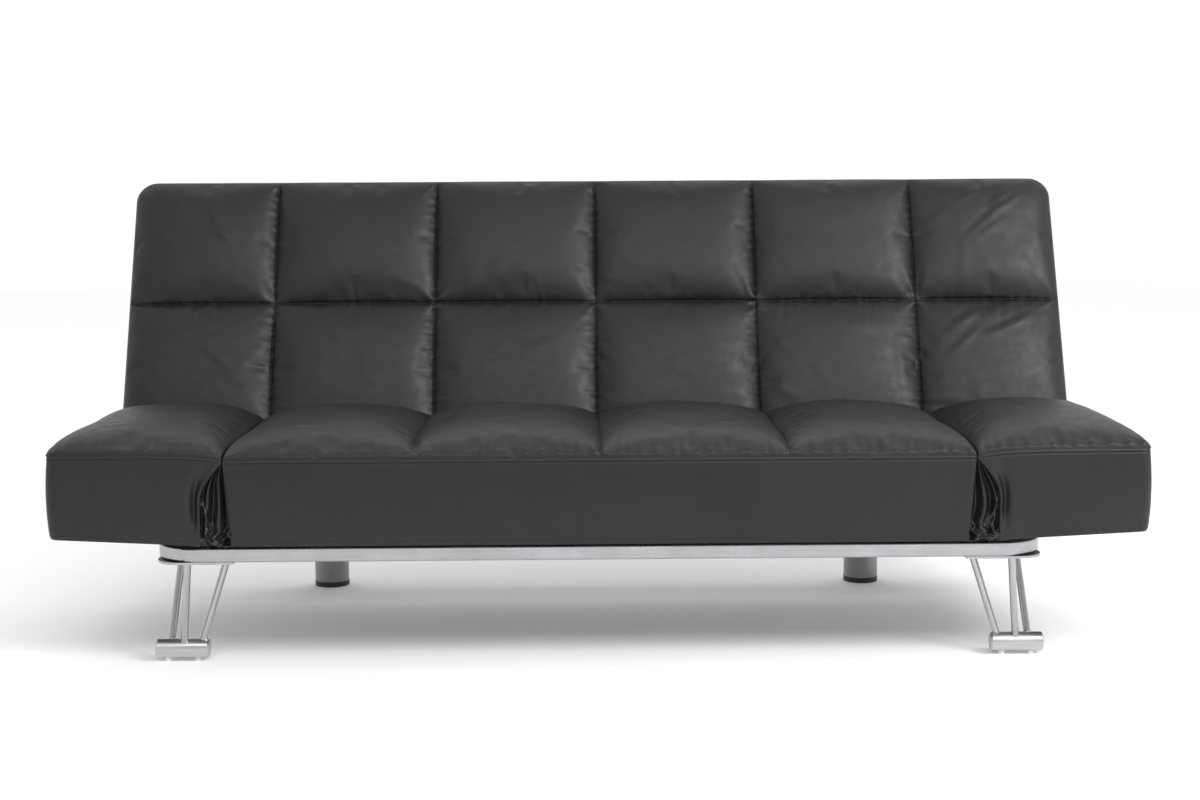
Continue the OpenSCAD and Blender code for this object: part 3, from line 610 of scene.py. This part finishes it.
def base_marks(stops_a):
    """The creases of a seat or wing top."""
    def marks(A, B):
        out = puckers(stops_a, [], A, B, 0.0010)
        out += rays([(a, b) for a in stops_a for b in (B[0], B[-1])], 3,
                    (0.03, 0.075), (0.005, 0.008), 0.0016)
        q = A[0] + 0.02
        while q < A[-1] - 0.01:                # upright creases behind the front seam
            k = rng.uniform(0.4, 1.0) * (1.3 if q > -0.3 else 0.7)
            out.append((q, B[0] + 0.003, math.pi / 2 + rng.normal(0, 0.12), rng.uniform(0.025, 0.095),
                        rng.uniform(0.0032, 0.0066), 0.0030 * k, 1))
            q += rng.uniform(0.008, 0.030)
        for _ in range(int(26 * (A[-1] - A[0]) / 1.2) + 3):
            out.append((rng.uniform(A[0] + .03, A[-1] - .03), rng.uniform(B[0] + .08, B[-1] - .05),
                        rng.uniform(0, math.pi), rng.uniform(0.05, 0.13), rng.uniform(0.007, 0.013),
                        rng.uniform(0.0005, 0.0011), 0))
        return out
    return marks


def lip(top, B):
    """The top leather rolls a little forward over its front seam."""
    d = B - B[0]
    top[:, :, 1] -= 0.0024 * np.exp(-((d - 0.005) / 0.0045) ** 2)[None, :] * (d > 0)


SEAT_COLS = [-SEAT_X + GAP, -SEAT_X / 2, 0.0, SEAT_X / 2, SEAT_X - GAP]
SEAT_FLOORS = [HINGE_FLOOR] + [COLUMN_FLOOR] * 3 + [HINGE_FLOOR]
A, B, top = quilt("seat", SEAT_COLS, [FRONT, REAR], SEAT_FLOORS, [0, 0], CROWN, GRID, COARSE,
                  base_marks(SEAT_COLS), 2.3, True)
lip(top, B)
top[:, :, 2] += SEAM_Z
plan, faces, index, rows, out = pillow(A, B, top, lambda a, b: np.full(len(a), BOTTOM), 0.0040,
                                       [(-FAR, -SEAT_X + 0.004, 0.0), (SEAT_X - 0.004, FAR, 0.0)])
# Painted shade beside the seat's column seams and along its top seam.
seat_seam = near_seam(plan, SEAT_COLS[1:-1], []) * (plan[:, 2] > SEAM_Z + 0.001)
seat_seam = np.maximum(seat_seam, np.exp(-np.abs(plan[:, 2] - SEAM_Z) / 0.0022))
plan = split_open(plan, False)
seat_cushion = make("seat_cushion", plan, faces, [LEATHER, LINING], index, seat_seam)
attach(seat_cushion, "seat")
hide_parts("seat_foam", "seat_cover")

stitches = {"seat": [], "wing_left": [], "wing_right": []}


def panel_line(rows, out, at, choose, wing):
    """Points along one row of the side panel where choose says, with their outward direction."""
    row = rows[int(np.argmin(np.abs(D_ROWS - at)))].copy()
    ok = np.nonzero(choose(row))[0]
    cut = np.nonzero(np.diff(ok) > 1)[0]
    if len(cut):
        ok = np.concatenate([ok[cut[0] + 1:], ok[:cut[0] + 1]])
    P = split_open(row[ok], wing)
    return [(p, np.array([o[0], o[1], 0])) for p, o in zip(P, out[ok])]


D_ROWS = border_rows(SEAM_Z - BOTTOM)
stitches["seat"].append(panel_line(rows, out, STITCH_AT, lambda r: (r[:, 1] < FRONT + 0.001)
                                   & (np.abs(r[:, 0]) < SEAT_X - 0.004), False))

for word, sign in (("left", 1), ("right", -1)):
    inner, outer = SEAT_X + GAP, WING_X - 0.0015
    cols = sorted([sign * inner, sign * outer])
    floors = [HINGE_FLOOR, 0] if sign > 0 else [0, HINGE_FLOOR]
    A, B, top = quilt(f"wing_{word}", cols, [FRONT, REAR], floors, [0, 0], WING_CROWN, GRID, COARSE,
                      base_marks(cols), 2.6, True)
    lip(top, B)
    top[:, :, 2] += SEAM_Z + seam_rise(A)[:, None]
    r = 0.016
    top[:, :, 0], top[:, :, 1] = rounded(top[:, :, 0], top[:, :, 1],
                                         [(sign * (outer - r), FRONT + r, sign, -1),
                                          (sign * (outer - r), REAR - r, sign, 1)])
    inner_side = (-SEAT_X - 0.004, FAR, 0.0) if sign < 0 else (-FAR, SEAT_X + 0.004, 0.0)
    plan, faces, index, rows, out = pillow(A, B, top, lambda a, b: BOTTOM + wing_rise(a, 0.014), 0.0042,
                                           [inner_side])
    z_seam = SEAM_Z + seam_rise(plan[:, 0])
    # Painted shade along the wing's top seam.
    seam = np.exp(-np.abs(plan[:, 2] - z_seam) / 0.0022)
    plan = split_open(plan, True)
    o = make(f"wing_cushion_{word}", plan, faces, [LEATHER, LINING], index, seam)
    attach(o, f"wing_{word}")
    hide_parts(f"wing_foam_{word}", f"wing_cover_{word}")
    for at in (STITCH_AT, D_ROWS[-1] - FOOT_STITCH_AT):
        stitches[f"wing_{word}"].append(
            panel_line(rows, out, at, lambda r: np.abs(r[:, 0]) > SEAT_X + 0.006, True))

for body, pts in stitches.items():
    o = beads(f"topstitch_{body}", pts)
    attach(o, body)


# ---------------------------------------------------------------- gussets in the splits
def gusset(name, sign, rear):
    """Folded leather across one split: U runs from the seat to the wing, V from the top down."""
    side = 61                          # points along each side of its grid
    U, V = np.meshgrid(np.linspace(0, 1, side), np.linspace(0, 1, side), indexing="ij")
    z_top, z_low = SEAM_Z - 0.003, BOTTOM + 0.002
    Z = z_top + (z_low - z_top) * V
    ease = np.sin(np.clip(V / 0.48, 0, 1) * math.pi / 2)
    full = np.clip(V * 1.1, 0, 1)
    xs = SEAT_X - 0.001 - (0 if rear else V_SEAT) * full - 0.003 * V
    xw = SEAT_X + 0.001 + V_WING * ease * (1 - 0.10 * np.clip((V - 0.6) / 0.4, 0, 1)) + 0.003 * V
    X = xs + (xw - xs) * U
    keys = np.array([0, 0.13, 0.36, 0.60, 0.78, 0.92, 1.0])                # the folds' places
    deep = np.array([0.001, 0.0105, -0.004, 0.0105, 0.000, 0.008, 0.001])  # and how far in each is
    grow = np.clip(V / 0.26, 0, 1) ** 0.8
    lean = 0.10 * np.sin(V * 6.2 + sign + rear) + 0.05 * (V - 0.5)
    Uw = np.clip(U + lean * np.sin(U * math.pi), 0, 1)
    t = np.interp(Uw, keys, np.arange(len(keys)))
    i = np.clip(np.floor(t).astype(int), 0, len(keys) - 2)
    f = t - i
    f = f * f * (3 - 2 * f)
    pleat = deep[i] * (1 - f) + deep[i + 1] * f
    gather = np.exp(-((V - 0.90) / 0.095) ** 2)          # bunched near the lower end
    cross = np.exp(-((U - 0.98 + (V - 0.42) * 1.05) / 0.065) ** 2) * np.clip((V - 0.38) / 0.08, 0, 1)
    Y = 0.002 + pleat * grow * (1 - 0.7 * gather) - 0.0055 * cross * (1 - gather)
    Y += gather * (0.0052 * np.sin(U * 11 + V * 27 + sign) + 0.0042 * np.sin(U * 19 - V * 34) - 0.002)
    X += gather * 0.0024 * np.sin(V * 46 + U * 9)
    Y = np.clip(Y, -0.0075, 0.014)
    edge = np.minimum(U, 1 - U) / 0.06
    Y = np.where(edge < 1, Y * edge + 0.0015 * (1 - edge), Y)
    y = (REAR - Y) if rear else (FRONT + Y)
    P = np.stack([sign * X, y, Z], 2)
    back = P.copy()
    back[:, :, 1] += -0.0022 if rear else 0.0022
    n = side * side
    ids = np.arange(n).reshape(side, side)
    quads = np.stack([ids[:-1, :-1], ids[1:, :-1], ids[1:, 1:], ids[:-1, 1:]], 2).reshape(-1, 4)
    flip = (sign > 0) != rear          # outward is -Y at the front
    front_faces = quads[:, ::-1] if flip else quads
    back_faces = (quads if flip else quads[:, ::-1]) + n
    loop = (list(ids[:, 0]) + list(ids[-1, 1:]) + list(ids[-2::-1, -1]) + list(ids[0, -2:0:-1]))
    rim = []
    for k, a in enumerate(loop):
        b = loop[(k + 1) % len(loop)]
        rim.append([b, a, a + n, b + n] if not flip else [a, b, b + n, a + n])
    pts = np.concatenate([P.reshape(-1, 3), back.reshape(-1, 3)])
    # Painted shade: the deeper a pleat lies, the darker its leather.
    seam = np.concatenate([np.clip(pleat.reshape(-1) / 0.02, 0, 1) * 0.4] * 2)
    o = make(name, pts, front_faces.tolist() + back_faces.tolist() + rim, [FOLDED_LIT], None, seam)
    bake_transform(o)


for word, sign in (("left", 1), ("right", -1)):
    gusset(f"gusset_front_{word}", sign, False)
    gusset(f"gusset_rear_{word}", sign, True)

# ---------------------------------------------------------------- back
half = BACK_X - 0.0015
COLUMN = 0.3075                           # width of an inner column of cells
COLS = [-half, -2 * COLUMN, -COLUMN, 0.0, COLUMN, 2 * COLUMN, half]
ROWS = [BACK_S0, BACK_ROW, BACK_S1]
COLUMN_SEAM, ROW_SEAM = 0.10, 0.12        # share of the crown left at its seams
BACK_GRID, BACK_COARSE = 0.0036, 0.0092
SLOT_IN, SLOT_OUT, SLOT_UP = 0.548, 0.604, 0.060      # the hinge slots: sides, and height behind
SLOT_FACE, SLOT_EASE = 0.026, 0.048       # a slot's height at the face, and where the face is whole


def back_marks(A, B):
    """The creases of the backrest."""
    low, high = B[B < BACK_ROW], B[B > BACK_ROW]
    out = puckers(COLS[1:-1], [], A, low, 0.0021, (0.007, 0.014), (0.016, 0.045))
    out += puckers(COLS[1:-1], [], A, high, 0.0017, (0.012, 0.024), (0.012, 0.034))
    out += puckers([], [BACK_ROW], A, B, 0.0010, (0.016, 0.034), (0.012, 0.040))
    for _ in range(9):                         # fans of creases at the row seam
        a, side = rng.uniform(-0.85, 0.85), rng.choice([-1, 1])
        for k in range(5):
            out.append((a + (k - 2) * rng.uniform(0.008, 0.014), BACK_ROW,
                        side * math.pi / 2 + (k - 2) * 0.13, rng.uniform(0.04, 0.085),
                        rng.uniform(0.0045, 0.007), rng.uniform(0.0012, 0.0021), 1))
    out += rays([(a, BACK_ROW) for a in COLS], 4, (0.03, 0.085), (0.005, 0.009), 0.0018)
    out += rays([(a, BACK_S1) for a in COLS], 3, (0.03, 0.07), (0.005, 0.008), 0.0016)
    for side in (-1, 1):                       # slanting creases in the outer cells
        for row, tilt in ((0.16, 0.62), (0.40, 0.75)):
            for k in range(6):
                a = side * rng.uniform(0.66, 0.80)
                ang = (tilt if side > 0 else math.pi - tilt) + rng.normal(0, 0.12)
                out.append((a, row + rng.uniform(-0.06, 0.06), ang, rng.uniform(0.07, 0.15),
                            rng.uniform(0.007, 0.011), rng.uniform(0.0009, 0.0017), 0))
    for _ in range(60):
        out.append((rng.uniform(-0.86, 0.86), rng.uniform(0.02, 0.48), rng.uniform(0, math.pi),
                    rng.uniform(0.05, 0.14), rng.uniform(0.008, 0.014), rng.uniform(0.0004, 0.0010), 0))
    return out


slot_lines = [s * v for s in (-1, 1) for v in (SLOT_IN - 0.002, SLOT_IN, SLOT_OUT, SLOT_OUT + 0.002)]
A, B, top = quilt("back", COLS, ROWS, [0] + [COLUMN_SEAM] * 5 + [0], [0, ROW_SEAM, 0], BACK_CROWN,
                  BACK_GRID, BACK_COARSE, back_marks, extra_a=slot_lines)
top[:, :, 2] += BACK_N
R_TOP, R_FOOT = 0.038, 0.012
notch = np.clip(np.minimum(np.abs(A) - (SLOT_IN - 0.002), SLOT_OUT + 0.002 - np.abs(A)) / 0.002, 0, 1)
for i in np.nonzero(notch > 0)[0]:        # the slot's front end, where the cushion's edge steps up
    start = BACK_S0 + notch[i] * (SLOT_FACE - BACK_S0)
    moved = start + (B - BACK_S0) * (SLOT_EASE - start) / (SLOT_EASE - BACK_S0)
    moved = np.where(B < SLOT_EASE, moved, B)
    for k in (0, 2):
        top[i, :, k] = np.interp(moved, B, top[i, :, k])
    top[i, :, 1] = moved
top[:, :, 0], top[:, :, 1] = rounded(
    top[:, :, 0], top[:, :, 1], [(s * (half - R_TOP), BACK_S1 - R_TOP, s, 1) for s in (-1, 1)]
    + [(s * (half - R_FOOT), BACK_S0 + R_FOOT, s, -1) for s in (-1, 1)])


def back_place(P):
    """Points across, up and out of the backrest, in the row frame."""
    return (np.array(PIVOT)[None] + np.outer(P[:, 0], [1, 0, 0])
            + np.outer(P[:, 1], UP) + np.outer(P[:, 2], OUT))


plan, faces, index, _, _ = pillow(A, B, top, lambda a, b: np.full(len(a), -BACK_N), 0.0036,
                                  inset=0.018, ring_up=0.004)
# Painted shade beside the back's column and row seams and along its edge seam.
seam = near_seam(plan, COLS[1:-1], [BACK_ROW]) * (plan[:, 2] > BACK_N + 0.0005)
seam = np.maximum(seam, np.exp(-np.abs(plan[:, 2] - BACK_N) / 0.0025) * 0.8)
ax = np.abs(plan[:, 0])
inside = (np.clip(np.minimum(ax - (SLOT_IN - 0.001), SLOT_OUT + 0.001 - ax) / 0.001, 0, 1)
          * np.clip((BACK_N + 0.004 - plan[:, 2]) / 0.012, 0, 1) * (plan[:, 1] < SLOT_FACE + 0.015))
plan[:, 1] += inside * (SLOT_UP - SLOT_FACE)
back_cushion = make("back_cushion", back_place(plan), faces, [LEATHER, LINING], index, seam)
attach(back_cushion, "back")
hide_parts("back_foam", "back_cover")

# ---------------------------------------------------------------- floor, light, camera
FLOOR_RADIUS, FLOOR_SIDES = 9.0, 96
turns = [k * 2 * math.pi / FLOOR_SIDES for k in range(FLOOR_SIDES)]
floor = make("floor", [(FLOOR_RADIUS * math.cos(t), FLOOR_RADIUS * math.sin(t), 0) for t in turns],
             [list(range(FLOOR_SIDES))], [])
m, n, l, b = material("floor_pale", (0.95, 0.95, 0.95), 0.9, spec=0.1)
# A faint glow keeps the floor evenly white to the horizon, and is painted light that lifts the sofa's
# shadow on it.
b.inputs["Emission Color"].default_value = (1, 1, 1, 1)
b.inputs["Emission Strength"].default_value = 0.10
floor.data.materials.append(m)

world = bpy.data.worlds.new("studio")
bpy.context.scene.world = world
world.use_nodes = True
wn, wl = world.node_tree.nodes, world.node_tree.links
wn["Background"].inputs["Strength"].default_value = 1.04
where = wn.new("ShaderNodeTexCoord")      # a studio that is dimmer on the camera's side
split = wn.new("ShaderNodeSeparateXYZ")
wl.new(where.outputs["Generated"], split.inputs["Vector"])
shade = wn.new("ShaderNodeMapRange")
for word, value in (("From Min", -0.8), ("From Max", 0.3), ("To Min", 0.62), ("To Max", 1.0)):
    shade.inputs[word].default_value = value
wl.new(split.outputs["Y"], shade.inputs["Value"])
wl.new(shade.outputs["Result"], wn["Background"].inputs["Color"])


def area(name, place, aim, size, power):
    """A soft white light aimed at a point."""
    d = bpy.data.lights.new(name, "AREA")
    d.shape = "RECTANGLE"
    d.size, d.size_y = size
    d.energy = power
    o = bpy.data.objects.new(name, d)
    bpy.context.scene.collection.objects.link(o)
    o.location = place
    o.rotation_euler = (Vector(aim) - Vector(place)).to_track_quat("-Z", "Y").to_euler()


area("key", (3.1, -2.4, 2.9), (0.6, 0.2, 0.5), (1.7, 1.4), 120)
area("fill", (0.1, -2.75, 3.0), (0.0, 0.1, 0.5), (3.4, 1.3), 38)
area("rim", (0.5, 1.8, 2.6), (0, 0.2, 0.5), (3.0, 1.2), 5)

cam_data = bpy.data.cameras.new("camera")
cam_data.sensor_width = 36
cam_data.lens = 60.3
cam = bpy.data.objects.new("camera", cam_data)
bpy.context.scene.collection.objects.link(cam)
yaw, down, roll = (math.radians(v) for v in (0.723, 7.235, 0.313))
F = Vector((math.sin(yaw) * math.cos(down), math.cos(yaw) * math.cos(down), -math.sin(down)))
R0 = Vector((math.cos(yaw), -math.sin(yaw), 0))
U0 = R0.cross(F)
R = R0 * math.cos(roll) - U0 * math.sin(roll)
U = R0 * math.sin(roll) + U0 * math.cos(roll)
place = Vector((-0.0408, FRONT - 3.2217, 0.8544))
cam.matrix_world = Matrix([(R[k], U[k], -F[k], place[k]) for k in range(3)] + [(0, 0, 0, 1)])
bpy.context.scene.camera = cam
bpy.context.scene.view_settings.view_transform = "Standard"
